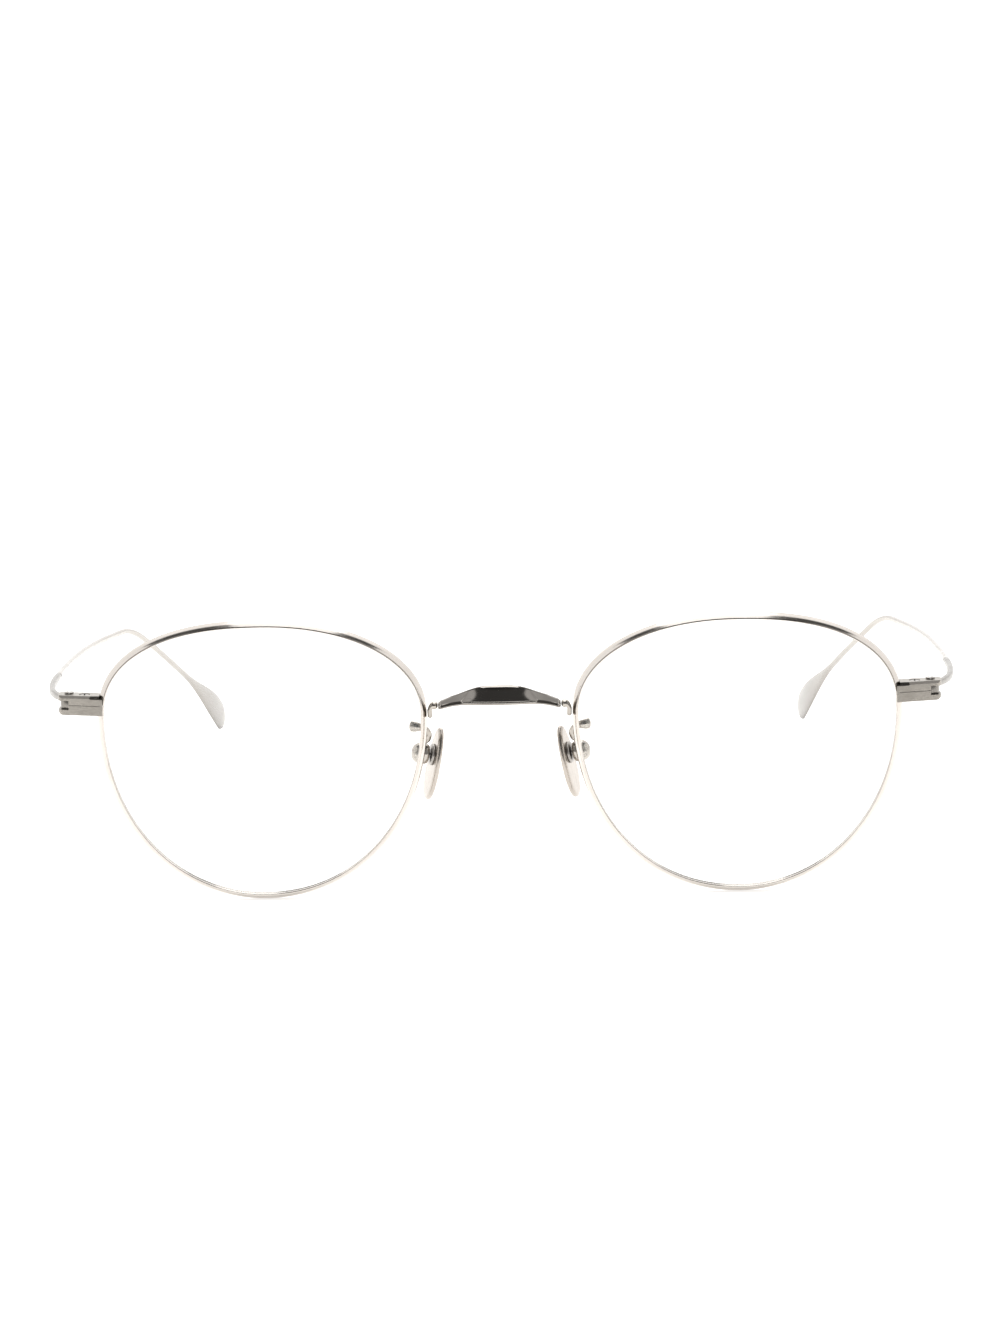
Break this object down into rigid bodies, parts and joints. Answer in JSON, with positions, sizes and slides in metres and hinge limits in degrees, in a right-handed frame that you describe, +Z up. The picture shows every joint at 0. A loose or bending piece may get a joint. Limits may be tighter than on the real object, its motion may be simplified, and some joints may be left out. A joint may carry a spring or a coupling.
{
  "type": "eyeglasses",
  "caption": "Round wire eyeglasses with panto rims, saddle bridge, rocking metal nose pads, split closing-block hinges and folding wire temples with flat paddle tips.",
  "frame": {"origin": "middle of the bounding box, on the plane that the rims' bottoms and the temple tips rest on", "axes": "+X to the viewer's right facing the front, +Y back along the open temples, +Z up; the front faces -Y. left means the -X side as seen from the front, right the +X side"},
  "size_m": [0.1362, 0.1412, 0.042],
  "materials": {
    "polished_titanium": "polished warm-grey titanium wire",
    "satin_titanium": "fine brushed, darker warm grey",
    "pad_titanium": "smooth bright warm-grey titanium",
    "lens_clear": "clear resin with an anti-reflection coat",
    "steel_screw": "machined",
    "washer_polymer": "matte"
  },
  "bodies": {
    "front": {"bridge_saddle": "polished_titanium", "rim_left": "polished_titanium", "lens_left": "lens_clear", "bridge_lug_left": "polished_titanium", "pad_arm_left": "polished_titanium", "pad_cup_left": "polished_titanium", "endpiece_upper_left": "satin_titanium", "endpiece_lower_left": "satin_titanium", "rim_lock_screw_left": "steel_screw", "hinge_screw_left": "steel_screw", "hinge_washer_upper_left": "washer_polymer", "hinge_washer_lower_left": "washer_polymer", "rim_right": "polished_titanium", "lens_right": "lens_clear", "bridge_lug_right": "polished_titanium", "pad_arm_right": "polished_titanium", "pad_cup_right": "polished_titanium", "endpiece_upper_right": "satin_titanium", "endpiece_lower_right": "satin_titanium", "rim_lock_screw_right": "steel_screw", "hinge_screw_right": "steel_screw", "hinge_washer_upper_right": "washer_polymer", "hinge_washer_lower_right": "washer_polymer"},
    "temple_left": {"temple_hinge_left": "satin_titanium", "temple_shaft_left": "polished_titanium"},
    "temple_right": {"temple_hinge_right": "satin_titanium", "temple_shaft_right": "polished_titanium"},
    "nose_pad_left": {"pad_stud_left": "polished_titanium", "nose_pad_left": "pad_titanium"},
    "nose_pad_right": {"pad_stud_right": "polished_titanium", "nose_pad_right": "pad_titanium"}
  },
  "joints": [
    {"name": "temple_fold_left", "type": "hinge", "parent": "front", "child": "temple_left", "pos_m": [-0.0632, -0.06583, 0.02965], "axis": [0, 0, -1], "range_deg": [0, 80]},
    {"name": "temple_fold_right", "type": "hinge", "parent": "front", "child": "temple_right", "pos_m": [0.0632, -0.06583, 0.02965], "axis": [0, 0, 1], "range_deg": [0, 83]},
    {"name": "pad_rock_left", "type": "hinge", "parent": "front", "child": "nose_pad_left", "pos_m": [-0.01165, -0.06298, 0.0207], "axis": [0.2172, -0.1448, 0.9653], "range_deg": [-8, 8]},
    {"name": "pad_rock_right", "type": "hinge", "parent": "front", "child": "nose_pad_right", "pos_m": [0.01165, -0.06298, 0.0207], "axis": [-0.2172, -0.1448, 0.9653], "range_deg": [-8, 8]}
  ]
}
